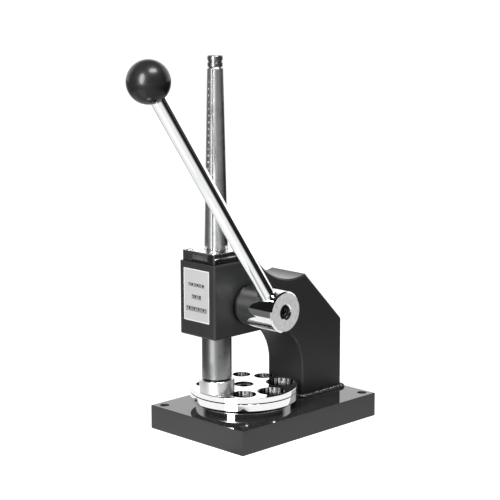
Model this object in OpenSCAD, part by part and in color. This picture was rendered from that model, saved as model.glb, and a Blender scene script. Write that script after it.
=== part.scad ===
// Bench press for ring mandrels and dies: C-frame, rack ram, lever, split mandrel, die plates.
// Origin: centre of the base underside. +Z up, -Y towards the head front, +X towards the hub.

/* [Base] */
// Base plate width
base_w = 133; // [110:1:160]
// Base plate length
base_l = 195; // [160:1:230]
// Base plate thickness
base_t = 24.4; // [16:0.2:32]
// Mounting hole diameter
base_hole_d = 10; // [6:0.5:14]
// Mounting hole spacing across the width
base_hole_sx = 112; // [90:1:136]
// Mounting hole spacing along the length
base_hole_sy = 177; // [140:1:206]
// Base edge chamfer
base_ch = 0.5; // [0.3:0.1:3]

/* [Frame] */
// Frame plate thickness
frame_w = 50; // [40:1:64]
// Head front distance from the origin
head_front = 94.4; // [84:0.2:104]
// Head underside height
head_bot = 106.6; // [90:0.2:130]
// Head top height
head_top = 181; // [160:0.5:200]
// Column front face position
col_front = 30.6; // [20:0.2:44]
// Column back face position
col_back = 90.2; // [70:0.2:96]
// Throat corner radius
throat_r = 50; // [30:1:60]
// Saddle arc radius on the top of the frame
saddle_r = 65; // [50:1:90]
// Saddle arc lowest point, position along the base
saddle_y = 18; // [10:1:26]
// Saddle arc lowest height
saddle_z = 152.5; // [140:0.5:165]
// Ridge position where the back bevel starts
ridge_y = 35.2; // [28:0.2:40]
// Height where the back bevel ends
bevel_z = 99.4; // [80:0.2:120]
// Frame edge chamfer
frame_ch = 1.5; // [0.6:0.1:4]
// Weld fillet leg
weld = 4.6; // [3:0.1:7]
// Label plate width
label_w = 35.8; // [24:0.2:44]
// Label plate height
label_h = 52.2; // [30:0.2:64]
// Label plate lower edge height
label_z = 122.2; // [110:0.2:140]

/* [Ram and rack] */
// Ram diameter
ram_d = 30; // [24:0.5:36]
// Ram axis position behind the head front
ram_set = 26.4; // [22:0.2:32]
// Ram top height with the lever up
ram_top = 147.2; // [130:0.2:160]
// Height where the rack flat starts
rack_low = 103; // [90:1:110]
// Rack pitch line distance from the ram axis
rack_set = 7.35; // [6:0.05:10]
// Rack and pinion module
gear_m = 1.25; // [1:0.25:2]
// Pinion tooth count
gear_n = 18; // [17:1:24]
// Pinion face width
gear_w = 28.8; // [20:0.2:36]
// Running clearance of bores, radial
run = 0.05; // [0.02:0.01:0.1]
// Pusher foot diameter
foot_d = 35.4; // [28:0.1:40]
// Pusher foot height
foot_h = 13.5; // [12:0.1:24]

/* [Lever] */
// Lever shaft axis height
shaft_z = 136.7; // [125:0.1:150]
// Shaft journal diameter
journal_d = 26; // [20:0.5:30]
// Bearing collar width
collar_w = 4.2; // [2:0.1:8]
// Hub diameter
hub_d = 40.8; // [32:0.2:48]
// Hub outer end distance from the frame centre
hub_end = 77.4; // [66:0.2:90]
// Lever rod diameter
rod_d = 15.6; // [12:0.2:20]
// Lever rod distance from the frame centre
rod_x = 64; // [50:0.5:76]
// Lever lean towards the front, degrees
lean = 34.8; // [20:0.2:45]
// Ball centre distance from the shaft axis
ball_len = 281.5; // [220:0.5:340]
// Ball knob diameter
ball_d = 40; // [32:0.5:50]

/* [Mandrel] */
// Flange block thickness
flange_t = 10.6; // [6:0.2:14]
// Flange block width
flange_w = 45.4; // [40:0.2:50]
// Flange block length
flange_l = 49.4; // [44:0.2:56]
// Flange screw spacing across the width
flange_sx = 34; // [30:0.5:38]
// Flange screw spacing along the length
flange_sy = 38; // [34:0.5:44]
// Mandrel length above the flange
mandrel_l = 178.4; // [140:0.2:210]
// Mandrel radius at the flange
mandrel_r1 = 11.72; // [10:0.02:14]
// Mandrel radius at the top
mandrel_r2 = 7.85; // [7:0.05:9]
// Collar diameter at the foot of the segments
seat_d = 31.8; // [28:0.2:36]
// Slit width between the segments
slit = 1; // [0.8:0.1:1.6]
// Direction of the first slit, degrees
slit_a = -60; // [-90:1:0]
// Draw bar radius at the flange
bar_r = 4.2; // [3.6:0.1:5]
// Draw bar taper, radius per unit length
wedge_k = 0.012; // [0.008:0.001:0.016]

/* [Die plates] */
// Die plate centre distance in front of the origin
die_y = 30; // [20:0.5:40]
// Die plate radius
die_r = 54.6; // [48:0.2:60]
// Die table thickness
table_t = 7.8; // [5:0.2:12]
// Die table radius
table_r = 49.2; // [40:0.2:54]
// Die table raised centre, radius
boss_r = 21; // [16:0.5:22]
// Die table raised centre, height
boss_h = 3; // [1:0.2:4]
// Lower die plate thickness
low_t = 7.6; // [5:0.2:12]
// Upper die plate thickness
up_t = 5.7; // [4:0.1:10]
// Gap under each die plate
die_gap = 0.3; // [0.1:0.05:0.5]
// Pivot bolt shoulder diameter
pivot_d = 20; // [14:0.5:24]
// Taper of each die hole, radius from top to bottom
die_taper = 0.7; // [0.2:0.1:1.5]

/* [Hidden] */
$fn = 96;
ram_y = -head_front + ram_set;
ram_r = ram_d / 2;
rack_y = ram_y + rack_set;
gear_r = gear_m * gear_n / 2;
gear_tip = gear_r + gear_m;
gear_root = gear_r - 1.25 * gear_m;
pitch = PI * gear_m;
shaft_y = rack_y + gear_r;
journal_r = journal_d / 2;
z_table = base_t + table_t;
z_low = z_table + die_gap;
z_up = z_low + low_t + die_gap;
z_die = z_up + up_t;
z_foot = z_die + 0.3;
z_ram = z_foot + foot_h;
z_flange = head_top + flange_t;
z_mandrel = z_flange + mandrel_l;
z_taper = ram_top + 6;
stem_r = bar_r + wedge_k * (z_taper - z_flange);
die_rad = -die_y - ram_y;
hx = frame_w / 2;
hub_x = hx + collar_w + 0.3;
shaft_r = 11;
key_z = 7.5;
shoulder_r = 8;
knob_flat = sqrt(pow(ball_d / 2, 2) - pow(shoulder_r, 2));
die_a = [270, 315, 1, 58, 103, 139, 180, 223];
die_d = [24, 25.5, 28, 29.5, 19.8, 19, 20.5, 22];

// Turned piece along X between two positions
module bar_x(r, x0, x1, r2 = -1) {
    translate([x0, 0, 0])
        rotate([0, 90, 0])
            cylinder(h = x1 - x0, r1 = r, r2 = r2 < 0 ? r : r2);
}

// Turned piece along Z between two heights
module bar_z(r, z0, z1, r2 = -1) {
    translate([0, 0, z0])
        cylinder(h = z1 - z0, r1 = r, r2 = r2 < 0 ? r : r2);
}

// Hexagonal recess or head along Z, across-flats size
module hex_z(af, z0, z1) {
    translate([0, 0, z0])
        cylinder(h = z1 - z0, r = af / sqrt(3), $fn = 6);
}

// Bar of square section turned on its edge, used to chamfer a straight edge along Y or X
module edge_cut(c, l) {
    rotate([0, 45, 0])
        cube([c * sqrt(2), l, c * sqrt(2)], center = true);
}

// Solid drawn in the side view (Y across, Z up) and thickened along X
module side_plate(w) {
    translate([-w / 2, 0, 0])
        rotate([90, 0, 90])
            linear_extrude(w)
                children();
}

module base_plate() {
    color([0.06, 0.06, 0.065])
    difference() {
        translate([-base_w / 2, -base_l / 2, 0])
            cube([base_w, base_l, base_t]);
        for (sx = [-1, 1], sy = [-1, 1])
            translate([sx * base_hole_sx / 2, sy * base_hole_sy / 2, -1])
                cylinder(h = base_t + 2, r = base_hole_d / 2);
        for (s = [-1, 1]) {
            translate([s * base_w / 2, 0, base_t])
                edge_cut(base_ch, base_l + 4);
            translate([0, s * base_l / 2, base_t])
                rotate([0, 0, 90])
                    edge_cut(base_ch, base_w + 4);
        }
        translate([0, -die_y, base_t - 16])
            cylinder(h = 20, r = 6);
    }
}

// Outline of the C-frame in the side view
module frame_outline() {
    difference() {
        polygon([
            [-head_front, head_bot],
            [-head_front, head_top],
            [saddle_y - sqrt(pow(saddle_r, 2) - pow(saddle_r + saddle_z - head_top, 2)), head_top],
            [ridge_y, head_top],
            [ridge_y, saddle_z + saddle_r - sqrt(pow(saddle_r, 2) - pow(ridge_y - saddle_y, 2))],
            [col_back, bevel_z],
            [col_back, base_t],
            [col_front, base_t],
            [col_front, head_bot - throat_r],
            [col_front - throat_r, head_bot - throat_r],
            [col_front - throat_r, head_bot]
        ]);
        translate([saddle_y, saddle_z + saddle_r])
            circle(r = saddle_r);
        translate([col_front - throat_r, head_bot - throat_r])
            circle(r = throat_r);
    }
}

// Chamfers along the straight edges of the outline, on one side face
module straight_edges(s) {
    zr = saddle_z + saddle_r - sqrt(pow(saddle_r, 2) - pow(ridge_y - saddle_y, 2));
    bev = atan2(zr - bevel_z, col_back - ridge_y);
    translate([s * hx, -60, head_top])
        edge_cut(frame_ch, 100);
    translate([s * hx, col_front - throat_r - 60, head_bot])
        edge_cut(frame_ch, 120);
    for (y = [-head_front, col_back])
        translate([s * hx, y, 100])
            rotate([90, 0, 0])
                edge_cut(frame_ch, 260);
    translate([s * hx, col_front, head_bot - throat_r - 50])
        rotate([90, 0, 0])
            edge_cut(frame_ch, 100);
    translate([s * hx, (ridge_y + col_back) / 2, (zr + bevel_z) / 2])
        rotate([-bev, 0, 0])
            edge_cut(frame_ch, 90);
}

// Conical chamfer along a concave arc, centre y and z, radius r, on one side face
module arc_edge(s, y, z, r) {
    translate([0, y, z])
        bar_x(s > 0 ? r - 0.2 : r + frame_ch,
              s > 0 ? hx - frame_ch - 0.2 : -hx,
              s > 0 ? hx : -hx + frame_ch + 0.2,
              s > 0 ? r + frame_ch : r - 0.2);
}

module frame() {
    color([0.07, 0.07, 0.075])
    difference() {
        difference() {
            difference() {
                side_plate(frame_w)
                    frame_outline();
                for (s = [-1, 1])
                    straight_edges(s);
                translate([0, -head_front, head_bot])
                    rotate([0, 0, 90])
                        edge_cut(frame_ch, frame_w + 4);
            }
            for (s = [-1, 1])
                arc_edge(s, saddle_y, saddle_z + saddle_r, saddle_r);
            for (s = [-1, 1])
                intersection() {
                    arc_edge(s, col_front - throat_r, head_bot - throat_r, throat_r);
                    translate([-40, col_front - throat_r, head_bot - throat_r])
                        cube([80, throat_r + 10, throat_r + 10]);
                }
        }
        translate([0, ram_y, 0]) {
            bar_z(ram_r + run, head_bot - 1, head_top - 5);
            bar_z(seat_d / 2 + 0.7, head_top - 6, head_top + 1);
            for (sx = [-1, 1], sy = [-1, 1])
                translate([sx * flange_sx / 2, sy * flange_sy / 2, 0])
                    bar_z(2.1, head_top - 13, head_top + 1);
        }
        translate([0, shaft_y, shaft_z])
            bar_x(journal_r + run, -hx - 1, hx + 1);
    }
}

// Triangular fillet run along one side of the column foot
module weld_run(l) {
    rotate([90, 0, 0])
        linear_extrude(l, center = true)
            polygon([[0, 0], [weld, 0], [0, weld]]);
}

module weld_bead() {
    ym = (col_front + col_back) / 2;
    ly = col_back - col_front;
    color([0.08, 0.08, 0.085])
    translate([0, ym, base_t])
    difference() {
        union() {
            for (s = [0, 180])
                rotate([0, 0, s])
                    translate([hx, 0, 0])
                        weld_run(ly);
            for (s = [90, 270])
                rotate([0, 0, s])
                    translate([ly / 2, 0, 0])
                        weld_run(frame_w);
            for (sx = [-1, 1], sy = [-1, 1])
                translate([sx * hx, sy * ly / 2, 0])
                    cylinder(h = weld, r1 = weld, r2 = 0);
        }
        difference() {
            cube([frame_w, ly, 40], center = true);
            for (sx = [-1, 1], sy = [-1, 1])
                translate([sx * hx, sy * ly / 2, 0])
                    rotate([0, 0, 45])
                        cube([frame_ch * sqrt(2), frame_ch * sqrt(2), 50], center = true);
        }
    }
}

module label_plate() {
    color([0.78, 0.78, 0.78])
    translate([-label_w / 2 - 0.3, -head_front - 0.5, label_z])
        cube([label_w, 0.5, label_h]);
}

module head_flange() {
    color([0.62, 0.62, 0.63])
    translate([0, ram_y, 0])
    difference() {
        translate([-flange_w / 2, -flange_l / 2, head_top])
            cube([flange_w, flange_l, flange_t]);
        bar_z(mandrel_r1 + 0.63, head_top - 1, z_flange + 1);
        for (sx = [-1, 1], sy = [-1, 1])
            translate([sx * flange_sx / 2, sy * flange_sy / 2, 0]) {
                bar_z(2.75, head_top - 1, z_flange + 1);
                bar_z(4.5, z_flange - 2.4, z_flange + 1);
            }
        for (s = [-1, 1], z = [head_top, z_flange]) {
            translate([s * flange_w / 2, 0, z])
                edge_cut(0.7, 60);
            translate([0, s * flange_l / 2, z])
                rotate([0, 0, 90])
                    edge_cut(0.7, 60);
        }
        for (sx = [-1, 1], sy = [-1, 1])
            translate([sx * flange_w / 2, sy * flange_l / 2, z_flange])
                rotate([90, 0, 0])
                    edge_cut(1.2, 60);
    }
}

module flange_screws() {
    color([0.2, 0.2, 0.2])
    for (sx = [-1, 1], sy = [-1, 1])
        translate([sx * flange_sx / 2, ram_y + sy * flange_sy / 2, 0])
        difference() {
            union() {
                bar_z(2.05, head_top - 12, z_flange - 2.2);
                bar_z(4.2, z_flange - 2.35, z_flange + 0.3);
                bar_z(4.2, z_flange + 0.3, z_flange + 0.8, 3.7);
            }
            hex_z(3, z_flange - 1.2, z_flange + 2);
        }
}

// One quarter of the split mandrel, between the slits at angles a and a + 90
module mandrel_segment(a) {
    r_in = bar_r + 0.06;
    zb = head_top - 5.8;
    translate([0, ram_y, 0])
    intersection() {
        difference() {
            union() {
                bar_z(seat_d / 2, zb, head_top - 0.2);
                bar_z(mandrel_r1 + 0.2, head_top - 0.5, z_flange, mandrel_r1);
                bar_z(mandrel_r1, z_flange, z_mandrel - 1, mandrel_r2);
                bar_z(mandrel_r2, z_mandrel - 1, z_mandrel, mandrel_r2 - 0.6);
            }
            translate([0, 0, zb - 1])
                cylinder(h = z_mandrel + 1 - zb + 1,
                         r1 = r_in + wedge_k * (zb - 1 - z_flange),
                         r2 = r_in + wedge_k * (mandrel_l + 1));
        }
        rotate([0, 0, a])
            translate([slit / 2, slit / 2, zb - 2])
                cube([20, 20, z_mandrel - zb + 4]);
    }
}

module mandrel_segment_1() {
    color([0.7, 0.7, 0.71])
    mandrel_segment(slit_a);
}

module mandrel_segment_2() {
    color([0.7, 0.7, 0.71])
    mandrel_segment(slit_a + 90);
}

module mandrel_segment_3() {
    color([0.7, 0.7, 0.71])
    mandrel_segment(slit_a + 180);
}

module mandrel_segment_4() {
    color([0.7, 0.7, 0.71])
    mandrel_segment(slit_a + 270);
}

module draw_bar() {
    color([0.62, 0.62, 0.64])
    translate([0, ram_y, 0]) {
        bar_z(stem_r, ram_top - 18, z_taper);
        bar_z(stem_r, z_taper, z_mandrel + 0.4, bar_r + wedge_k * (mandrel_l + 0.4));
        bar_z(6.9, z_mandrel + 0.4, z_mandrel + 1, 7.4);
        bar_z(7.4, z_mandrel + 1, z_mandrel + 4.6);
        bar_z(6.7, z_mandrel + 4.6, z_mandrel + 6.8);
        bar_z(7.5, z_mandrel + 6.8, z_mandrel + 10.6);
        bar_z(7.5, z_mandrel + 10.6, z_mandrel + 11.4, 6.9);
    }
}

module draw_bar_nut() {
    color([0.55, 0.55, 0.56])
    translate([0, ram_y, 0])
    difference() {
        hex_z(13, ram_top, ram_top + 5);
        bar_z(stem_r, ram_top - 1, ram_top + 6);
    }
}

// Tooth space of the rack, side view
module rack_space() {
    t = tan(20);
    w1 = pitch / 4 + gear_m * t + 0.06;
    w2 = pitch / 4 - 1.25 * gear_m * t + 0.06;
    polygon([
        [rack_y + gear_m + 1, -w1],
        [rack_y + gear_m, -w1],
        [rack_y - 1.25 * gear_m, -w2],
        [rack_y - 1.25 * gear_m, w2],
        [rack_y + gear_m, w1],
        [rack_y + gear_m + 1, w1]
    ]);
}

module ram() {
    color([0.5, 0.5, 0.51])
    difference() {
        translate([0, ram_y, 0]) {
            bar_z(ram_r - 0.9, z_ram, z_ram + 1.1);
            bar_z(ram_r - 0.9, z_ram + 1.1, z_ram + 1.7, ram_r);
            bar_z(ram_r, z_ram + 1.7, ram_top - 1);
            bar_z(ram_r, ram_top - 1, ram_top, ram_r - 1);
        }
        translate([0, rack_y + gear_m + 10, rack_low + 50])
            cube([40, 20, 100], center = true);
        for (k = [-7:2])
            translate([0, 0, shaft_z + k * pitch])
                side_plate(40)
                    rack_space();
        translate([0, ram_y, 0]) {
            bar_z(stem_r, ram_top - 20, ram_top + 1);
            bar_z(3.4, z_ram - 1, z_ram + 16);
        }
    }
}

module pusher_foot() {
    color([0.75, 0.75, 0.76])
    translate([0, ram_y, 0])
    difference() {
        union() {
            bar_z(foot_d / 2 - 0.5, z_foot, z_foot + 0.5, foot_d / 2);
            bar_z(foot_d / 2, z_foot + 0.5, z_ram - 0.6);
            bar_z(foot_d / 2, z_ram - 0.6, z_ram, foot_d / 2 - 0.6);
        }
        bar_z(4.2, z_foot - 1, z_ram + 1);
        bar_z(7, z_foot - 1, z_foot + 8.5);
    }
}

module foot_screw() {
    color([0.3, 0.3, 0.3])
    translate([0, ram_y, 0])
    difference() {
        union() {
            bar_z(6.5, z_foot + 0.5, z_foot + 8.5);
            bar_z(3.4, z_foot + 8.5, z_ram + 14);
        }
        hex_z(6, z_foot, z_foot + 4.5);
    }
}

// Involute spur pinion outline with one tooth centred on angle zero
module gear_outline() {
    rb = gear_r * cos(20);
    back = 0.3;
    function involute(r) = tan(acos(min(1, rb / r))) * 180 / PI - acos(min(1, rb / r));
    function half(r) = 90 / gear_n - back + involute(gear_r) - involute(r);
    function polar(r, a) = [r * cos(a), r * sin(a)];
    radii = [for (i = [0:4]) rb + 0.001 + (gear_tip - rb - 0.001) * i / 4];
    polygon([
        for (i = [0:gear_n - 1])
            let (c = i * 360 / gear_n)
            each concat(
                [polar(gear_root, c - half(rb))],
                [for (k = [0:4]) polar(radii[k], c - half(radii[k]))],
                [for (k = [4:-1:0]) polar(radii[k], c + half(radii[k]))],
                [polar(gear_root, c + half(rb))]
            )
    ]);
}

module pinion_shaft() {
    color([0.55, 0.55, 0.56])
    translate([0, shaft_y, shaft_z])
    difference() {
        union() {
            rotate([180, 0, 0])
                side_plate(gear_w)
                    rotate([0, 0, 180])
                        gear_outline();
            bar_x(journal_r, -hx - 0.6, -gear_w / 2);
            bar_x(journal_r, gear_w / 2, hub_x);
            bar_x(shaft_r, hub_x, hub_x + 20.4);
        }
        bar_x(3.4, -hx - 1, -hx + 17);
        translate([hub_x + 0.5, -3, key_z])
            cube([30, 6, 6]);
    }
}

module hub_collar() {
    color([0.07, 0.07, 0.075])
    translate([0, shaft_y, shaft_z])
    difference() {
        union() {
            bar_x(hub_d / 2, hx, hx + collar_w - 0.6);
            bar_x(hub_d / 2, hx + collar_w - 0.6, hx + collar_w, hub_d / 2 - 0.6);
        }
        bar_x(journal_r + run, hx - 1, hx + collar_w + 1);
    }
}

module lever_hub() {
    r = hub_d / 2;
    color([0.85, 0.85, 0.86])
    translate([0, shaft_y, shaft_z])
    difference() {
        union() {
            bar_x(r - 0.6, hub_x, hub_x + 0.6, r);
            bar_x(r, hub_x + 0.6, hub_end - 1.4);
            bar_x(r, hub_end - 1.4, hub_end, r - 1.4);
        }
        bar_x(shaft_r, hub_x - 1, hub_x + 20.8);
        translate([hub_x - 1, -3, key_z])
            cube([19.5, 6, 6]);
        bar_x(7, rod_x, hub_end + 1);
        bar_x(7, hub_end - 1, hub_end + 0.02, 8.02);
        translate([rod_x, 0, 0])
            rotate([lean, 0, 0]) {
                bar_z(rod_d / 2, -12, r + 2);
                bar_z(rod_d / 2, r - 2.2, r + 1, rod_d / 2 + 3.2);
            }
    }
}

module hub_key() {
    color([0.5, 0.5, 0.5])
    translate([hub_x + 0.7, shaft_y - 3, shaft_z + key_z])
        cube([17.6, 6, 6]);
}

module hub_set_screw() {
    color([0.12, 0.12, 0.12])
    translate([0, shaft_y, shaft_z])
    difference() {
        union() {
            bar_x(6.95, rod_x + rod_d / 2, hub_end - 2.6);
            bar_x(6.95, hub_end - 2.6, hub_end - 2, 6.35);
        }
        translate([hub_end - 4.6, 0, 0])
            rotate([0, 90, 0])
                hex_z(6, 0, 4);
    }
}

module lever_rod() {
    shoulder = ball_len - knob_flat;
    color([0.85, 0.85, 0.86])
    translate([rod_x, shaft_y, shaft_z])
    rotate([lean, 0, 0]) {
        bar_z(rod_d / 2 - 1, -11.8, -10.8, rod_d / 2);
        bar_z(rod_d / 2, -10.8, shoulder - 0.6);
        bar_z(rod_d / 2, shoulder - 0.6, shoulder, rod_d / 2 - 0.5);
        bar_z(5, shoulder, shoulder + 16);
    }
}

module ball_knob() {
    color([0.04, 0.04, 0.045])
    translate([rod_x, shaft_y, shaft_z])
    rotate([lean, 0, 0])
    translate([0, 0, ball_len])
    difference() {
        sphere(r = ball_d / 2);
        bar_z(ball_d / 2, -ball_d, -knob_flat);
        bar_z(7, -ball_d, -knob_flat + 18);
    }
}

module knob_insert() {
    color([0.75, 0.6, 0.3])
    translate([rod_x, shaft_y, shaft_z])
    rotate([lean, 0, 0])
    translate([0, 0, ball_len])
    difference() {
        bar_z(7, -knob_flat, -knob_flat + 18);
        bar_z(5, -knob_flat - 1, -knob_flat + 16);
    }
}

module retainer_washer() {
    color([0.6, 0.6, 0.61])
    translate([0, shaft_y, shaft_z])
    difference() {
        union() {
            bar_x(16.2, -hx - 4.6, -hx - 3.8, 17);
            bar_x(17, -hx - 3.8, -hx - 0.6);
        }
        bar_x(4.3, -hx - 6, -hx);
    }
}

module retainer_screw() {
    color([0.15, 0.15, 0.15])
    translate([0, shaft_y, shaft_z])
    difference() {
        union() {
            bar_x(6.2, -hx - 12.6, -hx - 12, 6.5);
            bar_x(6.5, -hx - 12, -hx - 4.6);
            bar_x(3.4, -hx - 4.6, -hx + 14);
        }
        translate([-hx - 13, 0, 0])
            rotate([0, 90, 0])
                hex_z(6, 0, 5);
    }
}

module die_table() {
    color([0.06, 0.06, 0.065])
    translate([0, -die_y, 0])
    difference() {
        union() {
            bar_z(table_r, base_t, z_table - boss_h);
            bar_z(boss_r, z_table - boss_h, z_table);
        }
        bar_z(6, base_t - 1, z_table + 1);
    }
}

module pivot_bolt() {
    color([0.08, 0.08, 0.08])
    translate([0, -die_y, 0])
    difference() {
        union() {
            bar_z(6, base_t - 14, z_table);
            bar_z(pivot_d / 2, z_table, z_die - 2.3);
            bar_z(pivot_d / 2, z_die - 2.3, z_die - 1.5, pivot_d / 2 - 0.8);
        }
        hex_z(8, z_die - 7.5, z_die);
    }
}

// Round plate with the ring of tapered die holes, radius shrunk by less
module die_plate(z0, t, less) {
    translate([0, -die_y, 0])
    difference() {
        union() {
            bar_z(die_r - 0.3, z0, z0 + 0.3, die_r);
            bar_z(die_r, z0 + 0.3, z0 + t - 0.3);
            bar_z(die_r, z0 + t - 0.3, z0 + t, die_r - 0.3);
        }
        bar_z(pivot_d / 2 + run, z0 - 1, z0 + t + 1);
        for (i = [0:7])
            rotate([0, 0, die_a[i]])
                translate([die_rad, 0, z0 - 0.01])
                    cylinder(h = t + 0.02, r1 = die_d[i] / 2 - less - die_taper, r2 = die_d[i] / 2 - less);
    }
}

module lower_die_plate() {
    color([0.8, 0.8, 0.81])
    die_plate(z_low, low_t, 0.8);
}

module upper_die_plate() {
    color([0.82, 0.82, 0.83])
    die_plate(z_up, up_t, 0);
}

base_plate();
frame();
weld_bead();
label_plate();
head_flange();
flange_screws();
mandrel_segment_1();
mandrel_segment_2();
mandrel_segment_3();
mandrel_segment_4();
draw_bar();
draw_bar_nut();
ram();
pusher_foot();
foot_screw();
pinion_shaft();
hub_collar();
lever_hub();
hub_key();
hub_set_screw();
lever_rod();
ball_knob();
knob_insert();
retainer_washer();
retainer_screw();
die_table();
pivot_bolt();
lower_die_plate();
upper_die_plate();
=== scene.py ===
"""Looks, light and camera for the bench ring press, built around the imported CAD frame."""

import math

import bmesh
import bpy
from mathutils import Matrix, Vector, noise


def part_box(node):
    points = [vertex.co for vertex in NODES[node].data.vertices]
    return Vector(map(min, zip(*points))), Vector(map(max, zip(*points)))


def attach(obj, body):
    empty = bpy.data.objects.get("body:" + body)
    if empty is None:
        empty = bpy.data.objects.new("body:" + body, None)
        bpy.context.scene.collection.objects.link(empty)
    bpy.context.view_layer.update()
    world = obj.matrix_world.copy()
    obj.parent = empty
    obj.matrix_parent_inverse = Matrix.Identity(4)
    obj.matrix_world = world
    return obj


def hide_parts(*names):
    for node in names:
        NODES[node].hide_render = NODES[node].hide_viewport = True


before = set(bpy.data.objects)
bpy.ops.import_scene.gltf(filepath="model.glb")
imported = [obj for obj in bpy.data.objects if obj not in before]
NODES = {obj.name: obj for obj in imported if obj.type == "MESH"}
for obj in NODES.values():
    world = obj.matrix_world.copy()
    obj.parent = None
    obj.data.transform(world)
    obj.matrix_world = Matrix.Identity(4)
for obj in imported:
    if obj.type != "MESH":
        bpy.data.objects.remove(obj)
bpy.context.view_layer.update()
MM = 0.001
ALONG_X = (1.0, 0.0, 0.0)
UP = (0.0, 0.0, 1.0)
FRONT = (0.0, -1.0, 0.0)

# Camera, solved from points on the outlines of the base and frame: place and lens in mm, angles
# in degrees
SENSOR = 36.0
CAM_PLACE = (1114.08, -1133.36, 482.54)
CAM_AZ = 45.04
CAM_EL = 10.74
CAM_ROLL = 0.11
CAM_LENS = 114.52


# ---------------------------------------------------------------- node helpers

class Tree:
    """Short names for building one material's or world's node tree."""

    def __init__(self, owner):
        owner.use_nodes = True
        self.nodes = owner.node_tree.nodes
        self.links = owner.node_tree.links
        self.nodes.clear()

    def node(self, kind, inputs=None, **props):
        made = self.nodes.new(kind)
        for key, value in props.items():
            setattr(made, key, value)
        for key, value in (inputs or {}).items():
            self.feed(made.inputs[key], value)
        return made

    def feed(self, socket, value):
        if isinstance(value, bpy.types.NodeSocket):
            self.links.new(value, socket)
        else:
            socket.default_value = value

    def math(self, op, a, b=0.0):
        return self.node("ShaderNodeMath", {0: a, 1: b}, operation=op).outputs[0]

    def add(self, a, b):
        return self.math("ADD", a, b)

    def less(self, a, b):
        return self.math("SUBTRACT", a, b)

    def times(self, a, b):
        return self.math("MULTIPLY", a, b)

    def flip(self, a):
        """1 where a is 0, and 0 where it is 1."""
        return self.less(1.0, a)

    def vector(self, op, *inputs):
        """Vector arithmetic with a vector for a result."""
        made = self.node("ShaderNodeVectorMath", dict(enumerate(inputs)), operation=op)
        return made.outputs["Vector"]

    def measure(self, op, *inputs):
        """Vector arithmetic with a number for a result."""
        made = self.node("ShaderNodeVectorMath", dict(enumerate(inputs)), operation=op)
        return made.outputs["Value"]

    def dot(self, a, b):
        return self.measure("DOT_PRODUCT", a, b)

    def scale(self, vector, factors):
        return self.vector("MULTIPLY", vector, factors)

    def join(self, x=0.0, y=0.0, z=0.0):
        return self.node("ShaderNodeCombineXYZ", {"X": x, "Y": y, "Z": z}).outputs[0]

    def split(self, vector):
        return self.node("ShaderNodeSeparateXYZ", {0: vector}).outputs

    def facing(self):
        """True surface normal, without bump."""
        return self.node("ShaderNodeNewGeometry").outputs["Normal"]

    def step(self, value, lo, hi, out_lo=0.0, out_hi=1.0):
        """Smooth change from one output to the other between two values."""
        made = self.node(
            "ShaderNodeMapRange",
            {"Value": value, "From Min": lo, "From Max": hi, "To Min": out_lo, "To Max": out_hi},
            interpolation_type="SMOOTHSTEP",
        )
        return made.outputs["Result"]

    def fall(self, value, lo, hi):
        """1 below the lower value and 0 above the higher one."""
        return self.step(value, lo, hi, 1.0, 0.0)

    def band(self, value, rise, fall):
        """1 between a rising and a falling pair of values, and 0 outside them."""
        return self.times(self.step(value, *rise), self.fall(value, *fall))

    def noise(self, vector, scale, detail=3.0, rough=0.5):
        made = self.node(
            "ShaderNodeTexNoise",
            {"Vector": vector, "Scale": scale, "Detail": detail, "Roughness": rough},
        )
        return made.outputs["Fac"]

    def mix(self, factor, a, b):
        made = self.node("ShaderNodeMix", data_type="RGBA")
        self.feed(made.inputs[0], factor)
        self.feed(made.inputs[6], a)
        self.feed(made.inputs[7], b)
        return made.outputs[2]

    def mix_vectors(self, factor, a, b):
        made = self.node("ShaderNodeMix", data_type="VECTOR")
        self.feed(made.inputs[0], factor)
        self.feed(made.inputs[4], a)
        self.feed(made.inputs[5], b)
        return made.outputs[1]

    def bump(self, height, strength, distance, normal=None):
        inputs = {"Height": height, "Strength": strength, "Distance": distance}
        if normal is not None:
            inputs["Normal"] = normal
        return self.node("ShaderNodeBump", inputs).outputs["Normal"]


def grey(value, tint=0.0):
    """Neutral colour, a little cooler with a positive tint."""
    return (value * (1 - tint), value, value * (1 + tint), 1.0)


def place(tree):
    """Object coordinates in metres, which are the CAD frame at rest."""
    return tree.node("ShaderNodeTexCoord").outputs["Object"]


def about(tree, origin):
    """Object coordinates in metres, measured from an origin in mm."""
    return tree.vector("ADD", place(tree), tuple(-v * MM for v in origin))


def radius_of(tree, vector, axis):
    """Distance from the X or Z axis through the origin of the vector."""
    keep = {"X": (0.0, 1.0, 1.0), "Z": (1.0, 1.0, 0.0)}[axis]
    return tree.measure("LENGTH", tree.scale(vector, keep))


def azimuth(tree, split):
    """Angle round Z in radians of a split vector: 0 towards -Y, growing towards +X."""
    return tree.math("ARCTAN2", split["X"], tree.times(split["Y"], -1.0))


def edges(tree, radius):
    """Wear, 1 on edges and 0 on faces, and the rounded-over normal that it comes from."""
    bevel = tree.node("ShaderNodeBevel", {"Radius": radius * MM}, samples=4).outputs["Normal"]
    same = tree.dot(bevel, tree.facing())
    return tree.step(tree.flip(same), 0.02, 0.35), bevel


def surface(name, build):
    """New material whose shader's inputs are filled by build(tree, inputs)."""
    material = bpy.data.materials.new(name)
    tree = Tree(material)
    shader = tree.node("ShaderNodeBsdfPrincipled")
    tree.node("ShaderNodeOutputMaterial", {"Surface": shader.outputs[0]})
    build(tree, shader.inputs)
    return material


# ---------------------------------------------------------------- materials

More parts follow.
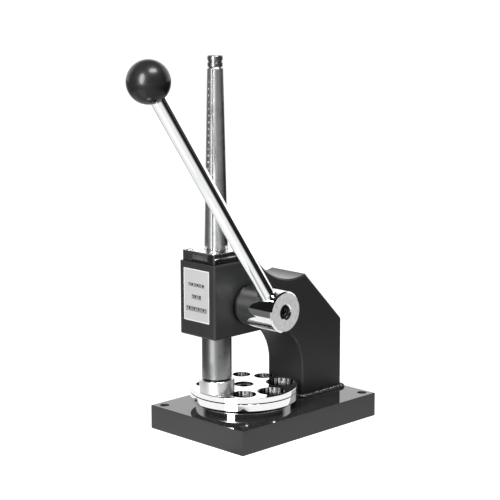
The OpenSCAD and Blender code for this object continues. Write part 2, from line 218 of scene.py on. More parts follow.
def paint(name, face, gloss, rough_top, rough_side, peel, dark_below=None):
    """Baked enamel: glossier on level tops, orange peel, rubbed paler along the edges.

    Below a height in metres, if one is given, it is darker with painted shade and glossier in a ragged
    patch.
    """
    def build(tree, inputs):
        here = place(tree)
        wear, normal = edges(tree, 0.7)
        blotch = tree.noise(here, 38.0, 4.0, 0.6)
        speck = tree.step(tree.noise(here, 2600.0, 1.0), 0.74, 0.82)
        level = tree.step(tree.dot(tree.facing(), UP), 0.8, 0.98)
        base = tree.mix(blotch, grey(face * 0.8, 0.02), grey(face * 1.2, 0.02))
        worn = tree.times(wear, tree.step(tree.noise(here, 160.0), 0.42, 0.62))
        dusty = tree.mix(tree.times(speck, 0.2), base, grey(0.10))
        shade = tree.mix(tree.times(worn, 0.22), dusty, grey(0.16))
        side = tree.add(tree.times(tree.noise(here, 900.0, 2.0), 0.08), rough_side - 0.04)
        if dark_below is not None:
            # painted shade: the paint is darkened towards its foot, below the given height
            ragged = tree.add(tree.dot(here, UP), tree.times(tree.noise(here, 120.0), 0.02))
            low = tree.fall(ragged, dark_below - 0.004, dark_below + 0.006)
            shade = tree.mix(tree.times(low, 0.7), shade, grey(0.002))
            side = tree.less(side, tree.times(low, rough_side * 0.55))
        flat = tree.add(tree.times(blotch, 0.03), rough_top - 0.015)
        waves = tree.times(tree.noise(here, 420.0, 2.0), tree.flip(level))
        tree.feed(inputs["Base Color"], shade)
        tree.feed(inputs["Roughness"], tree.add(side, tree.times(level, tree.less(flat, side))))
        tree.feed(inputs["Normal"], tree.bump(waves, peel, 0.0002, normal))
        inputs["Specular IOR Level"].default_value = gloss
    return surface(name, build)


def table_finish(name, rim_at):
    """Polished steel side, a duller bright rim above a height in metres, black on top."""
    def build(tree, inputs):
        here = place(tree)
        cloud = tree.noise(here, 60.0, 4.0, 0.6)
        lines = tree.noise(tree.scale(here, (0.2, 0.2, 12.0)), 500.0, 3.0)
        side = tree.fall(tree.dot(tree.facing(), UP), 0.75, 0.9)
        rim = tree.step(tree.dot(here, UP), rim_at - 0.0001, rim_at + 0.0001)
        steel = tree.mix(tree.times(lines, cloud), grey(0.86), grey(0.66))
        black = tree.mix(cloud, grey(0.001), grey(0.004))
        polish = tree.add(tree.times(lines, 0.05), 0.03)
        dull = tree.add(tree.times(tree.times(rim, side), 0.18), tree.times(tree.flip(side), 0.45))
        tree.feed(inputs["Base Color"], tree.mix(side, black, steel))
        tree.feed(inputs["Metallic"], side)
        tree.feed(inputs["Roughness"], tree.add(polish, dull))
        tree.feed(inputs["Normal"], tree.bump(lines, 0.03, 0.00005))
        inputs["Specular IOR Level"].default_value = 0.02
    return surface(name, build)


def turned(name, axis, origin, colour, rough, marks, stain, aniso=0.0, dark_below=None):
    """Turned or ground metal: rings round an axis, cloudy stains and brighter rubbed edges.

    Below a distance along the axis in metres, if one is given, it is dark.
    """
    def build(tree, inputs):
        here = about(tree, origin)
        wear, normal = edges(tree, 0.4)
        along = tree.dot(here, ALONG_X if axis == "X" else UP)
        ring = tree.join(radius_of(tree, here, axis), along)
        cloud = tree.noise(here, 55.0, 5.0, 0.65)
        fine = tree.times(tree.noise(ring, 5200.0, 2.0), 0.6)
        lines = tree.add(fine, tree.times(tree.noise(ring, 900.0, 3.0), 0.4))
        dark = tree.times(tree.step(cloud, 0.42, 0.72), stain)
        shade = tree.mix(dark, grey(colour, 0.008), grey(colour * 0.45, 0.01))
        lit = tree.mix(tree.times(lines, 0.18), shade, grey(colour * 0.8))
        rubbed = tree.mix(tree.times(wear, 0.5), lit, grey(0.9))
        if dark_below is not None:
            dark_foot = tree.fall(along, dark_below - 0.0002, dark_below + 0.0002)
            rubbed = tree.mix(dark_foot, rubbed, grey(0.015))
        vary = tree.times(tree.add(cloud, lines), rough * 0.35)
        tree.feed(inputs["Base Color"], rubbed)
        tree.feed(inputs["Roughness"], tree.add(vary, rough * 0.65))
        tree.feed(inputs["Normal"], tree.bump(lines, marks, 0.00005, normal))
        inputs["Metallic"].default_value = 1.0
        if aniso:
            inputs["Anisotropic"].default_value = aniso
            tangent = tree.node("ShaderNodeTangent", direction_type="RADIAL", axis=axis)
            tree.feed(inputs["Tangent"], tangent.outputs[0])
    return surface(name, build)


def chrome(name, colour, rough, ripple):
    """Polished plating: faint ripple, hairlines and finger smears in the roughness."""
    def build(tree, inputs):
        here = place(tree)
        wear, normal = edges(tree, 0.35)
        smear = tree.noise(here, 45.0, 4.0, 0.6)
        hair = tree.noise(tree.scale(here, (1.0, 1.0, 14.0)), 420.0, 2.0)
        cloudy = tree.step(smear, 0.35, 0.75)
        shade = tree.mix(cloudy, grey(colour, 0.01), grey(colour * 0.93, 0.01))
        spread = tree.times(tree.step(smear, 0.45, 0.8), rough * 0.9)
        waves = tree.add(tree.noise(here, 60.0, 2.0), tree.times(hair, 0.04))
        tree.feed(inputs["Base Color"], tree.mix(tree.times(wear, 0.4), shade, grey(0.95)))
        tree.feed(inputs["Roughness"], tree.add(spread, rough))
        tree.feed(inputs["Normal"], tree.bump(waves, ripple, 0.0002, normal))
        inputs["Metallic"].default_value = 1.0
    return surface(name, build)


def mirror(name, origin, colour, rough, rim, upper_joint, lower_joint):
    """Polished turned plate with dark lines of painted shade round its two joints.

    The walls of its holes, inside the rim radius, have painted reflections in dark and bright
    stripes, as if they mirrored the room, and a painted shadow at their foot. The rim radius
    and the joints' heights are in metres.
    """
    def build(tree, inputs):
        here = about(tree, origin)
        facing = tree.facing()
        away = radius_of(tree, here, "Z")
        rings = tree.noise(tree.join(away), 1800.0, 3.0)
        smear = tree.step(tree.noise(here, 42.0, 4.0, 0.65), 0.45, 0.75)
        upright = tree.fall(tree.math("ABSOLUTE", tree.dot(facing, UP)), 0.3, 0.6)
        wall = tree.times(upright, tree.fall(away, rim - 0.0012, rim - 0.0006))
        round_walls = tree.scale(facing, (1.0, 1.0, 0.0))
        # painted reflection: dark and bright stripes on the hole walls, set by the wall's direction
        painted_reflection = tree.step(tree.noise(round_walls, 2.3, 3.0, 0.7), 0.47, 0.52)
        level = tree.dot(place(tree), UP)
        shade = tree.mix(tree.times(smear, 0.6), grey(colour), grey(colour * 0.9))
        # painted shade: dark lines along the two joints, where the gaps between the plates are
        for joint in (upper_joint, lower_joint):
            off = tree.math("ABSOLUTE", tree.less(level, joint))
            shade = tree.mix(tree.step(off, 0.0004, 0.0007, 0.97, 0.0), shade, grey(0.01))
        # painted shadow: the hole walls are darkened near the lower plate's foot
        shadow = tree.fall(level, lower_joint + 0.005, lower_joint + 0.009)
        painted_walls = tree.mix(shadow, tree.mix(painted_reflection, grey(0.01), grey(0.97)), grey(0.005))
        polish = tree.add(tree.times(tree.add(rings, smear), rough * 0.5), rough * 0.6)
        tree.feed(inputs["Base Color"], tree.mix(wall, shade, painted_walls))
        tree.feed(inputs["Roughness"], tree.add(polish, tree.times(wall, 0.10)))
        tree.feed(inputs["Metallic"], tree.flip(tree.times(wall, 0.15)))
        tree.feed(inputs["Normal"], tree.bump(rings, 0.01, 0.00002))
    return surface(name, build)


def hub_finish(name, colour, rough, face_at, origin):
    """Polished plating with a fine-turned, duller end face at an X position in metres."""
    def build(tree, inputs):
        here = about(tree, origin)
        near_end = tree.step(tree.dot(here, ALONG_X), face_at - 0.0008, face_at)
        end = tree.step(tree.times(near_end, tree.dot(tree.facing(), ALONG_X)), 0.90, 0.98)
        rings = tree.noise(tree.join(radius_of(tree, here, "X")), 3600.0, 3.0)
        smear = tree.noise(here, 60.0, 4.0, 0.6)
        cloudy = tree.step(smear, 0.35, 0.75)
        body = tree.mix(cloudy, grey(colour, 0.01), grey(colour * 0.92, 0.01))
        blotch = tree.step(tree.noise(here, 260.0, 4.0, 0.7), 0.40, 0.66)
        turned_face = tree.mix(rings, grey(0.56), grey(0.86))
        turned_face = tree.mix(tree.times(blotch, 0.45), turned_face, grey(0.42))
        polish = tree.add(tree.times(smear, rough * 0.8), rough * 0.7)
        tree.feed(inputs["Base Color"], tree.mix(end, body, turned_face))
        tree.feed(inputs["Metallic"], tree.flip(tree.times(end, 0.72)))
        tree.feed(inputs["Roughness"], tree.add(polish, tree.times(end, 0.28)))
        tree.feed(inputs["Normal"], tree.bump(tree.noise(here, 60.0, 2.0), 0.02, 0.0002))
    return surface(name, build)


def block_finish(name, colour, low, high):
    """Ground steel block between two heights in metres: drag lines and dark scale in patches.

    Its sides bend the shading normal downwards in two level bands, and its front face in an
    arch and a low band between its ends, so that they mirror more of the floor there. Its top
    has a lighter colour than its sides as a painted highlight, and the ends of its front face
    are darkened as painted shade.
    """
    def build(tree, inputs):
        here = place(tree)
        facing = tree.facing()
        wear, normal = edges(tree, 0.5)
        height = {"Value": tree.dot(here, UP), "From Min": low, "From Max": high}
        part_way = tree.node("ShaderNodeMapRange", height).outputs["Result"]
        middle_band = tree.band(part_way, (0.44, 0.48), (0.58, 0.62))
        foot_band = tree.band(part_way, (0.10, 0.14), (0.24, 0.30))
        window = tree.band(tree.dot(here, ALONG_X), (-0.013, -0.006), (0.012, 0.016))
        front = tree.step(tree.dot(facing, FRONT), 0.5, 0.6)
        sides = tree.fall(tree.dot(facing, UP), 0.3, 0.6)
        drag = tree.noise(tree.scale(here, (0.12, 0.12, 1.0)), 1400.0, 3.0, 0.65)
        patch = tree.step(tree.noise(here, 70.0, 3.0, 0.6), 0.5, 0.6)

        level_bands = tree.add(tree.times(middle_band, 0.34), tree.times(foot_band, 0.16))
        on_sides = tree.times(level_bands, tree.flip(front))
        worn = tree.add(tree.times(patch, 0.35), 0.65)
        arch = tree.times(tree.times(window, tree.fall(part_way, 0.66, 0.84)), worn)
        low_band = tree.times(tree.times(foot_band, window), 0.30)
        on_front = tree.times(tree.add(tree.times(arch, 0.29), low_band), front)
        lean = tree.join(z=tree.times(tree.add(on_sides, on_front), -1.0))
        bent = tree.vector("NORMALIZE", tree.vector("ADD", lean, normal))

        # painted shade: the ends of the front face, outside the window, are darkened
        ends = tree.times(tree.flip(window), front)
        dull = tree.add(tree.times(patch, 0.4), tree.times(ends, 0.5))
        ground = tree.mix(drag, grey(colour * 0.8), grey(colour * 1.1))
        # painted highlight: the top gets a lighter colour than the sides
        painted_lit_top = tree.mix(sides, grey(0.9), ground)
        scale_and_painted_light = tree.mix(tree.times(dull, sides), painted_lit_top, grey(colour * 0.15))
        tree.feed(inputs["Base Color"], tree.mix(tree.times(wear, 0.5), scale_and_painted_light, grey(0.9)))
        tree.feed(inputs["Roughness"], tree.add(tree.times(drag, 0.1), 0.12))
        tree.feed(inputs["Normal"], tree.mix_vectors(sides, normal, bent))
        inputs["Metallic"].default_value = 1.0
    return surface(name, build)


def plastic(name):
    """Moulded phenolic ball: near-black and glossy, with clouds, hairlines and faint ripple."""
    def build(tree, inputs):
        here = place(tree)
        cloud = tree.noise(here, 70.0, 4.0, 0.6)
        hair = tree.noise(tree.scale(here, (9.0, 1.0, 3.0)), 500.0, 2.0)
        tree.feed(inputs["Base Color"], tree.mix(cloud, grey(0.0015), grey(0.003)))
        tree.feed(inputs["Roughness"], tree.add(tree.times(tree.add(cloud, hair), 0.05), 0.14))
        tree.feed(inputs["Normal"], tree.bump(tree.noise(here, 240.0, 2.0), 0.05, 0.0002))
        inputs["IOR"].default_value = 1.30
    return surface(name, build)


def brushed(name, colour, rough, direction, metal):
    """Sheet metal brushed along one direction, a little cloudy, with bright cut edges."""
    def build(tree, inputs):
        here = place(tree)
        wear, normal = edges(tree, 0.25)
        lines = tree.noise(tree.scale(here, direction), 900.0, 3.0, 0.7)
        cloud = tree.noise(here, 90.0, 3.0)
        base = tree.mix(lines, grey(colour * 0.9), grey(min(1.0, colour * 1.06)))
        soft = tree.mix(tree.times(cloud, 0.25), base, grey(colour * 0.82))
        tree.feed(inputs["Base Color"], tree.mix(tree.times(wear, 0.6), soft, grey(0.95)))
        tree.feed(inputs["Roughness"], tree.add(tree.times(lines, 0.15), rough))
        tree.feed(inputs["Normal"], tree.bump(lines, 0.15, 0.00005, normal))
        inputs["Metallic"].default_value = metal
    return surface(name, build)


def plain_ink(name, low, high, shine):
    """Flat fill in printing or engraving, slightly uneven."""
    def build(tree, inputs):
        cloud = tree.noise(place(tree), 1500.0, 3.0)
        tree.feed(inputs["Base Color"], tree.mix(cloud, grey(low), grey(high)))
        tree.feed(inputs["Roughness"], tree.add(tree.times(cloud, 0.2), 0.5))
        inputs["Specular IOR Level"].default_value = shine
    return surface(name, build)


def give(names, material):
    """Give some CAD nodes one finish."""
    for name in names:
        slots = NODES[name].data.materials
        slots.clear()
        slots.append(material)


def centre(node):
    """Middle of a node's box in mm."""
    lo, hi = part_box(node)
    return tuple((a + b) / 2 / MM for a, b in zip(lo, hi))


def bottom_of(node):
    """Height in metres of a node's lowest point."""
    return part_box(node)[0][2]


def top_of(node):
    """Height in metres of a node's highest point."""
    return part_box(node)[1][2]


RAM_AT = centre("ram")
DIE_AT = centre("upper_die_plate")
DIE_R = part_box("upper_die_plate")[1][0]
SHAFT_AT = centre("pinion_shaft")
HUB_AT = (0.0, SHAFT_AT[1], SHAFT_AT[2])
HUB_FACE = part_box("lever_hub")[1][0]
TABLE_RIM = 0.0041  # depth in metres of the bright rim at the top of the die table's side
RAM_DARK_LINE = 0.0017  # depth in metres of the dark line at the foot of the ram
FRAME_PAINTED_SHADE = 0.036  # height in metres below which the frame's paint is darkened with painted shade
RAM_DARK_FROM = bottom_of("ram") - RAM_AT[2] * MM + RAM_DARK_LINE  # metres from the ram's middle
BRUSHED = (0.05, 1.0, 1.0)  # stretches the grain along X

gloss_paint = paint(
    "gloss_black_enamel", face=0.020, gloss=0.5, rough_top=0.030, rough_side=0.42, peel=0.12,
)
satin_paint = paint(
    "satin_black_enamel",
    face=0.017, gloss=0.42, rough_top=0.24, rough_side=0.46, peel=0.20, dark_below=FRAME_PAINTED_SHADE,
)
collar_paint = paint(
    "collar_black_enamel", face=0.003, gloss=0.25, rough_top=0.20, rough_side=0.24, peel=0.10,
)
weld_paint = paint(
    "weld_black_enamel", face=0.008, gloss=0.9, rough_top=0.10, rough_side=0.12, peel=0.35,
)
table_steel = table_finish("polished_table_steel", top_of("die_table") - TABLE_RIM)
ram_steel = turned(
    "ground_ram_steel", "Z", RAM_AT,
    colour=0.33, rough=0.25, marks=0.20, stain=0.75, aniso=0.5, dark_below=RAM_DARK_FROM,
)
mandrel_steel = turned(
    "ground_mandrel_steel", "Z", RAM_AT, colour=0.72, rough=0.22, marks=0.20, stain=0.35, aniso=0.4,
)
cap_steel = turned("turned_cap_steel", "Z", RAM_AT, colour=0.26, rough=0.30, marks=0.60, stain=0.95)
foot_steel = turned(
    "polished_foot_steel", "Z", RAM_AT, colour=0.80, rough=0.32, marks=0.25, stain=0.30, aniso=0.3,
)
plate_chrome = mirror(
    "polished_plate", DIE_AT, colour=0.93, rough=0.045, rim=DIE_R,
    upper_joint=bottom_of("upper_die_plate"), lower_joint=bottom_of("lower_die_plate"),
)
hub_chrome = hub_finish("chromed_hub", colour=0.90, rough=0.035, face_at=HUB_FACE, origin=HUB_AT)
rod_chrome = chrome("chromed_rod", colour=0.93, rough=0.07, ripple=0.02)
flange_steel = block_finish(
    "ground_flange_steel", colour=0.52, low=bottom_of("head_flange"), high=top_of("head_flange"),
)
shaft_steel = turned("turned_shaft_steel", "X", SHAFT_AT, colour=0.55, rough=0.25, marks=0.30, stain=0.30)
oxide = turned("black_oxide", "Z", RAM_AT, colour=0.05, rough=0.38, marks=0.15, stain=0.30)
screw_steel = turned("bright_screw_steel", "Z", RAM_AT, colour=0.80, rough=0.30, marks=0.20, stain=0.10)
brass = turned("turned_brass", "Z", RAM_AT, colour=0.60, rough=0.25, marks=0.20, stain=0.20)
label_metal = brushed("satin_aluminium", colour=0.60, rough=0.34, direction=BRUSHED, metal=0.5)
border_metal = brushed("bright_aluminium", colour=0.86, rough=0.25, direction=BRUSHED, metal=0.3)
ink = plain_ink("printed_marks", low=0.004, high=0.02, shine=0.2)
scale_ink = plain_ink("filled_engraving", low=0.40, high=0.62, shine=0.3)
ball_plastic = plastic("black_phenolic")

give(["base_plate"], gloss_paint)
give(["frame"], satin_paint)
give(["hub_collar"], collar_paint)
give(["die_table"], table_steel)
give(["ram"], ram_steel)
give([f"mandrel_segment_{k}" for k in range(1, 5)], mandrel_steel)
give(["draw_bar", "draw_bar_nut"], cap_steel)
give(["pusher_foot"], foot_steel)
give(["lower_die_plate", "upper_die_plate"], plate_chrome)
give(["lever_hub"], hub_chrome)
give(["lever_rod"], rod_chrome)
give(["head_flange"], flange_steel)
give(["pinion_shaft", "hub_key", "retainer_washer"], shaft_steel)
give(["flange_screws"], screw_steel)
give(["foot_screw", "hub_set_screw", "retainer_screw", "pivot_bolt"], oxide)
give(["knob_insert"], brass)
give(["label_plate"], label_metal)
give(["ball_knob"], ball_plastic)


# ---------------------------------------------------------------- pieces

def box_mm(node):
    """Lowest and highest corners of a node in mm."""
    return (tuple(v / MM for v in corner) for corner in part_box(node))


def piece(name, verts, faces, material, body, smooth=False):
    """Mesh from corners in mm, riding on a body of the frame."""
    mesh = bpy.data.meshes.new(name)
    mesh.from_pydata([tuple(v * MM for v in p) for p in verts], [], faces)
    if smooth:
        mesh.polygons.foreach_set("use_smooth", [True] * len(mesh.polygons))
    mesh.materials.append(material)
    obj = bpy.data.objects.new(name, mesh)
    bpy.context.scene.collection.objects.link(obj)
    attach(obj, body)
    return obj


def box_faces(at):
    """Six faces of a box whose eight corners start at an index, low ring then high ring."""
    ring = [(0, 1), (1, 2), (2, 3), (3, 0)]
    faces = [(at + 3, at + 2, at + 1, at), (at + 4, at + 5, at + 6, at + 7)]
    return faces + [(at + a, at + b, at + b + 4, at + a + 4) for a, b in ring]


def label_marks():
    """Raised border and three rows of plain blocks where a maker's lettering would be."""
    lo, hi = box_mm("label_plate")
    wide = hi[0] - lo[0]
    tall = hi[2] - lo[2]
    mid = (lo[0] + hi[0]) / 2
    sunk = 0.02

    def slab(rects, name, material, proud):
        verts = []
        faces = []
        for x0, x1, z0, z1 in rects:
            at = len(verts)
            for y in (lo[1] + sunk, lo[1] - proud):
                verts += [(x0, y, z0), (x1, y, z0), (x1, y, z1), (x0, y, z1)]
            faces += box_faces(at)
        piece(name, verts, faces, material, "press_frame")

    rim = 0.8
    slab([
        (lo[0], hi[0], lo[2], lo[2] + rim),
        (lo[0], hi[0], hi[2] - rim, hi[2]),
        (lo[0], lo[0] + rim, lo[2] + rim, hi[2] - rim),
        (hi[0] - rim, hi[0], lo[2] + rim, hi[2] - rim),
    ], "label_border", border_metal, 0.05)

    # each row: share of the plate's height, share of its width, blocks, block height in mm
    rows = [(0.70, 0.64, 6, 3.6), (0.47, 0.38, 4, 4.4), (0.235, 0.82, 9, 4.8)]
    marks = []
    for up, part, count, high in rows:
        pitch = wide * part / count
        z = lo[2] + tall * up
        for k in range(count):
            # two posts and a bar between them that is longer on every other block
            x = mid + (k - (count - 1) / 2) * pitch
            bar_foot = z - high * (0.12 if k % 2 else -0.22)
            marks += [
                (x - pitch * 0.38, x - pitch * 0.14, z - high / 2, z + high / 2),
                (x + pitch * 0.10, x + pitch * 0.36, z - high / 2, z + high / 2),
                (x - pitch * 0.14, x + pitch * 0.10, bar_foot, z + high * 0.38),
            ]
    slab(marks, "label_marks", ink, 0.03)


SCALE_AZ = math.radians(14)  # from the front towards +X
SCALE_STEPS = 36
SCALE_TIP = 14.0  # mm between the mandrel's tip and the first tick
SCALE_FOOT = 48.0  # mm between the last tick and the flange
STROKES = {  # which strokes of a seven-stroke figure each digit has
    "0": "abcdef", "1": "bc", "2": "abged", "3": "abgcd", "4": "fgbc",
    "5": "afgcd", "6": "afgedc", "7": "abc", "8": "abcdefg", "9": "abcdfg",
}


def cone_radius(node, level):
    """Radius in mm of a mandrel segment's outer cone at a height in mm, from its own mesh."""
    radii = [
        math.hypot(v.co.x, v.co.y - RAM_AT[1] * MM) / MM
        for v in NODES[node].data.vertices
        if abs(v.co.z / MM - level) < 0.2
    ]
    return max(radii)


def size_scale():
    """Engraved scale on the front segment: ticks, every fifth longer, every second numbered."""
    node = "mandrel_segment_4"
    lo = top_of("head_flange") / MM
    hi = top_of(node) / MM
    cone_top = hi - 1.0
    low_r = cone_radius(node, lo)
    high_r = cone_radius(node, cone_top)
    figure = (1.0, 1.9, 0.3)  # width, height and stroke of a figure in mm
    first_figure = -3.1  # mm round the cone from the scale's azimuth
    figure_pitch = 1.25
    verts = []
    faces = []

    def arc(u0, u1, z0, z1):
        """Curved bar between two distances round the cone and two heights, in mm."""
        pieces = max(1, int((u1 - u0) / 0.7) + 1)
        for k in range(pieces):
            at = len(verts)
            for lift in (-0.08, 0.02):
                for u, z in ((0, z0), (1, z0), (1, z1), (0, z1)):
                    r = low_r + (high_r - low_r) * (z - lo) / (cone_top - lo)
                    a = SCALE_AZ + (u0 + (u1 - u0) * (k + u) / pieces) / r
                    far = r + lift
                    verts.append((math.sin(a) * far, RAM_AT[1] - math.cos(a) * far, z))
            faces.extend(box_faces(at))

    def digit(char, u, z):
        w, h, t = figure
        half = h / 2
        bars = {
            "a": (0, w, h - t, h), "b": (w - t, w, half, h), "c": (w - t, w, 0, half),
            "d": (0, w, 0, t), "e": (0, t, 0, half), "f": (0, t, half, h),
            "g": (0, w, half - t / 2, half + t / 2),
        }
        for key in STROKES[char]:
            u0, u1, z0, z1 = bars[key]
            arc(u + u0, u + u1, z + z0, z + z1)

    step = (hi - SCALE_TIP - lo - SCALE_FOOT) / SCALE_STEPS
    for k in range(SCALE_STEPS + 1):
        z = hi - SCALE_TIP - k * step
        arc(-0.9 if k % 5 == 0 else -0.35, 0.9, z - 0.14, z + 0.14)
        if k % 2 == 0:
            number = str(k + 1)
            left = first_figure - 0.6 * (len(number) - 1)
            for column, char in enumerate(number):
                digit(char, left + column * figure_pitch, z - figure[1] / 2)
    piece("size_scale", verts, faces, scale_ink, "segment_4")


def bead_path(x1, y0, y1):
    """Places round a rounded rectangle in mm, each with its outward direction."""
    corners = [(x1, y0, -90), (x1, y1, 0), (-x1, y1, 90), (-x1, y0, 180)]
    path = []
    for k, (cx, cy, start) in enumerate(corners):
        for turn in range(0, 91, 9):
            a = math.radians(start + turn)
            path.append((cx, cy, math.cos(a), math.sin(a)))
        nx, ny, _ = corners[(k + 1) % 4]
        count = int(math.hypot(nx - cx, ny - cy) / 0.4)
        a = math.radians(start + 90)
        for j in range(1, count):
            f = j / count
            path.append((cx + (nx - cx) * f, cy + (ny - cy) * f, math.cos(a), math.sin(a)))
    return path


def weld_ripple():
    """Rippled fillet bead run round the foot of the column."""
    lo, hi = box_mm("weld_bead")
    leg = hi[2] - lo[2]
    path = bead_path(hi[0] - leg, lo[1] + leg, hi[1] - leg)
    across = 9  # points over the bead's section
    pitch = 2.3  # mm between ripples
    verts = []
    run = 0.0
    last = None
    for cx, cy, ox, oy in path:
        spot = (cx + ox * leg * 0.6, cy + oy * leg * 0.6)
        if last is not None:
            run += math.hypot(spot[0] - last[0], spot[1] - last[1])
        last = spot
        verts.append((cx - ox * 0.3, cy - oy * 0.3, lo[2] - 0.02))
        for j in range(across):
            # the section is between flat and round, and the ripples run ahead in its middle
            t = math.radians(90 * j / (across - 1))
            bulge = math.sin(2 * t)
            straight = 1 / (math.cos(t) + math.sin(t))
            wave = (run + 1.1 * bulge) % pitch / pitch
            ripple = 0.16 * (1 - (2 * wave - 1) ** 2) * bulge
            lump = 0.10 * noise.noise(Vector((cx * 0.35 + ox * 3, cy * 0.35 + oy * 3, t)))
            r = leg * (0.62 * straight + 0.30 + ripple + lump * bulge)
            out = r * math.cos(t)
            verts.append((cx + ox * out, cy + oy * out, lo[2] + r * math.sin(t)))
    rows = across + 1
    faces = []
    for i in range(len(path)):
        a = i * rows
        b = (i + 1) % len(path) * rows
        for j in range(rows):
            k = (j + 1) % rows
            faces.append((a + j, b + j, b + k, a + k))
    bead = piece("weld_ripple", verts, faces, weld_paint, "press_frame", True)
    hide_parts("weld_bead")


label_marks()
size_scale()
weld_ripple()


# ---------------------------------------------------------------- studio

# Soft lamps: place, aim point and size, in mm
LAMPS = {
    "tall": ((319, -1234, 697), (20, -60, 180), (480, 1050)),
    "over": ((515, -193, 1144), (40, -100, 250), (560, 340)),
}
LAMP_RADIANCE = 24.0
KNOB_RADIANCE = {"tall": 105.0, "over": 120.0}  # lamps in the same places, for the ball alone
DIE_GLOW = (27, -77)  # point on the floor in mm that the glowing cards are laid out about
TABLE_GLOW_R = 290  # radius in mm of the card under the base

# World brightness round the horizon: azimuth in degrees from -Y towards +X, value
LOWER = [
    (-180, 0.02), (-150, 0.60), (-100, 0.60), (-85, 0.14), (-60, 0.12), (-30, 0.20), (-10, 0.50),
    (3, 0.60), (30, 0.60), (45, 0.60), (62, 0.45), (92, 0.28), (108, 0.012), (178, 0.012), (180, 0.02),
]
STRIP = [(-180, 0.0), (-14, 0.0), (3, 1.4), (30, 1.4), (45, 0.0), (180, 0.0)]
FAR_SIDE = [(-180, 0.0), (85, 0.0), (100, 0.26), (132, 0.20), (144, 0.0), (180, 0.0)]
RAMP_TOP = 2.0  # value that a colour ramp's white stands for


def link(obj):
    bpy.context.scene.collection.objects.link(obj)
    return obj


def glow(name, points, strength):
    """Flat emitting card from corner points in mm; strength(tree) gives its radiance."""
    mesh = bpy.data.meshes.new(name)
    mesh.from_pydata([tuple(v * MM for v in p) for p in points], [], [tuple(range(len(points)))])
    material = bpy.data.materials.new(name)
    tree = Tree(material)
    light = tree.node("ShaderNodeEmission", {"Color": grey(1.0), "Strength": strength(tree)})
    tree.node("ShaderNodeOutputMaterial", {"Surface": light.outputs[0]})
    mesh.materials.append(material)
    card = link(bpy.data.objects.new(name, mesh))
    card.visible_camera = False
    card.visible_shadow = False
    card.visible_transmission = False
    return card


def softbox(name, at, towards, size, radiance, only=None):
    """Elliptical area light at a place in mm, aimed at a point in mm, for one node if given."""
    data = bpy.data.lights.new(name, "AREA")
    data.shape = "ELLIPSE"
    data.size = size[0] * MM
    data.size_y = size[1] * MM
    # a panel's power in watts is its radiance times pi times its area
    data.energy = radiance * math.pi * (math.pi / 4 * data.size * data.size_y)
    lamp = link(bpy.data.objects.new(name, data))
    lamp.location = Vector(at) * MM
    lamp.rotation_mode = "QUATERNION"
    lamp.rotation_quaternion = (Vector(towards) - Vector(at)).to_track_quat("-Z", "Y")
    lamp.visible_camera = False
    if only is not None:
        receivers = bpy.data.collections.new("lit_by_" + name)
        receivers.objects.link(NODES[only])
        lamp.light_linking.receiver_collection = receivers


def sector(start, end, near, far):
    """Corner points in mm of a ring sector on the floor, from azimuths in degrees and radii."""
    middle = (start + end) / 2
    spots = [(start, near), (start, far), (middle, far), (end, far), (end, near), (middle, near)]
    made = []
    for turn, away in spots:
        a = math.radians(turn)
        made.append((DIE_GLOW[0] + away * math.sin(a), DIE_GLOW[1] - away * math.cos(a), -1.0))
    return made


def floor_cards():
    """Glowing cards on the floor, hidden from the camera, for the metal to mirror."""
    def fade(tree):
        here = about(tree, (*DIE_GLOW, 0))
        away = radius_of(tree, here, "Z")
        dim = tree.band(azimuth(tree, tree.split(here)), (0.45, 0.60), (0.70, 1.30))
        dim = tree.times(dim, tree.fall(away, 0.132, 0.140))
        return tree.less(tree.step(away, 0.20, 0.30, 1.0, 0.75), tree.times(dim, 0.6))

    ring = [(math.cos(math.radians(a)), math.sin(math.radians(a))) for a in range(0, 360, 5)]
    glow("table_glow", [(TABLE_GLOW_R * x, TABLE_GLOW_R * y, -1.5) for x, y in ring], fade)
    near = glow("glow_near", sector(3.5, 34.5, 104, 180), lambda tree: 8.0)
    far = glow("glow_far", sector(-9, 25, 230, 700), lambda tree: 1.9)
    near.visible_diffuse = False
    far.visible_diffuse = False


def pale_floor():
    """Round floor, almost white by its own glow, that metal and bounced light don't see."""
    mesh = bpy.data.meshes.new("floor")
    shape = bmesh.new()
    bmesh.ops.create_circle(shape, cap_ends=True, segments=96, radius=9.0)
    shape.to_mesh(mesh)
    shape.free()
    material = bpy.data.materials.new("pale_floor")
    tree = Tree(material)
    diffuse = tree.node("ShaderNodeBsdfDiffuse", {"Color": grey(0.35)})
    lift = tree.node("ShaderNodeEmission", {"Color": grey(1.0), "Strength": 0.93})
    both = tree.node("ShaderNodeAddShader", {0: diffuse.outputs[0], 1: lift.outputs[0]})
    tree.node("ShaderNodeOutputMaterial", {"Surface": both.outputs[0]})
    mesh.materials.append(material)
    floor = link(bpy.data.objects.new("floor", mesh))
    floor.location = (0, 0, -0.0002)
    floor.visible_glossy = False
    floor.visible_diffuse = False


def round_about(tree, turn, stops):
    """Value round the horizon from (azimuth in degrees, value) stops; turn runs from 0 to 1."""
    ramp = tree.node("ShaderNodeValToRGB", {"Fac": turn})
    made = ramp.color_ramp.elements
    made.remove(made[1])
    for k, (az, value) in enumerate(stops):
        at = (az + 180) / 360
        stop = made[0] if k == 0 else made.new(at)
        stop.position = at
        stop.color = grey(value / RAMP_TOP)
    return tree.times(ramp.outputs["Color"], RAMP_TOP)


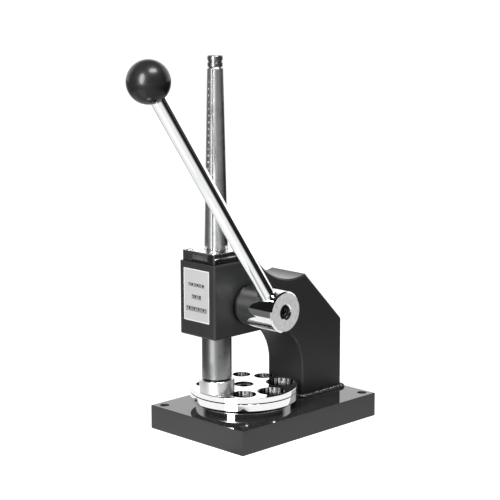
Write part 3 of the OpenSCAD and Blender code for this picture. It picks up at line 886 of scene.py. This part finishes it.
def sky():
    """World: shaped light for the metal to mirror, plain grey for the rest, white for the camera."""
    world = bpy.data.worlds.new("studio")
    bpy.context.scene.world = world
    tree = Tree(world)
    way = tree.node("ShaderNodeTexCoord").outputs["Generated"]
    split = tree.split(way)
    height = split["Z"]
    turn = tree.add(tree.math("DIVIDE", azimuth(tree, split), 2 * math.pi), 0.5)

    strip = tree.times(tree.step(height, -0.22, -0.16), round_about(tree, turn, STRIP))
    far_side = tree.times(tree.step(height, -0.17, -0.12), round_about(tree, turn, FAR_SIDE))
    lower = tree.add(tree.add(round_about(tree, turn, LOWER), strip), far_side)
    behind = tree.step(tree.dot(way, (-0.707, 0.707, 0.0)), 0.20, 0.50)
    behind = tree.times(behind, tree.step(height, 0.42, 0.75, 1.0, 0.05))
    upper = tree.add(tree.times(behind, 1.5), 0.012)
    above = tree.step(height, -0.03, 0.0)
    value = tree.add(lower, tree.times(above, tree.less(upper, lower)))
    underfoot = tree.fall(height, -0.68, -0.43)
    value = tree.add(value, tree.times(underfoot, tree.less(0.95, value)))

    def backdrop(strength):
        made = tree.node("ShaderNodeBackground", {"Color": grey(1.0), "Strength": strength})
        return made.outputs[0]

    rays = tree.node("ShaderNodeLightPath").outputs
    by_glossy = {0: rays["Is Glossy Ray"], 1: backdrop(0.35), 2: backdrop(value)}
    bounced = tree.node("ShaderNodeMixShader", by_glossy)
    by_camera = {0: rays["Is Camera Ray"], 1: bounced.outputs[0], 2: backdrop(1.2)}
    whole = tree.node("ShaderNodeMixShader", by_camera)
    tree.node("ShaderNodeOutputWorld", {"Surface": whole.outputs[0]})


def camera():
    """Camera at the solved place, turned by its azimuth, elevation and roll."""
    data = bpy.data.cameras.new("camera")
    data.sensor_width = SENSOR
    data.lens = CAM_LENS
    data.clip_start = 0.05
    data.clip_end = 60.0
    az = math.radians(CAM_AZ)
    el = math.radians(CAM_EL)
    roll = math.radians(CAM_ROLL)
    back = Vector((math.sin(az) * math.cos(el), -math.cos(az) * math.cos(el), math.sin(el)))
    level_right = Vector((math.cos(az), math.sin(az), 0.0))
    level_up = back.cross(level_right)
    right = level_right * math.cos(roll) - level_up * math.sin(roll)
    up = level_right * math.sin(roll) + level_up * math.cos(roll)
    turn = Matrix((right, up, back)).transposed()
    obj = link(bpy.data.objects.new("camera", data))
    obj.matrix_world = Matrix.Translation(Vector(CAM_PLACE) * MM) @ turn.to_4x4()
    bpy.context.scene.camera = obj


for lamp_name, lamp in LAMPS.items():
    softbox("softbox_" + lamp_name, *lamp, LAMP_RADIANCE)
for lamp_name, radiance in KNOB_RADIANCE.items():
    softbox("knob_" + lamp_name, *LAMPS[lamp_name], radiance, "ball_knob")
pale_floor()
floor_cards()
sky()
camera()
bpy.context.scene.view_settings.view_transform = "Standard"
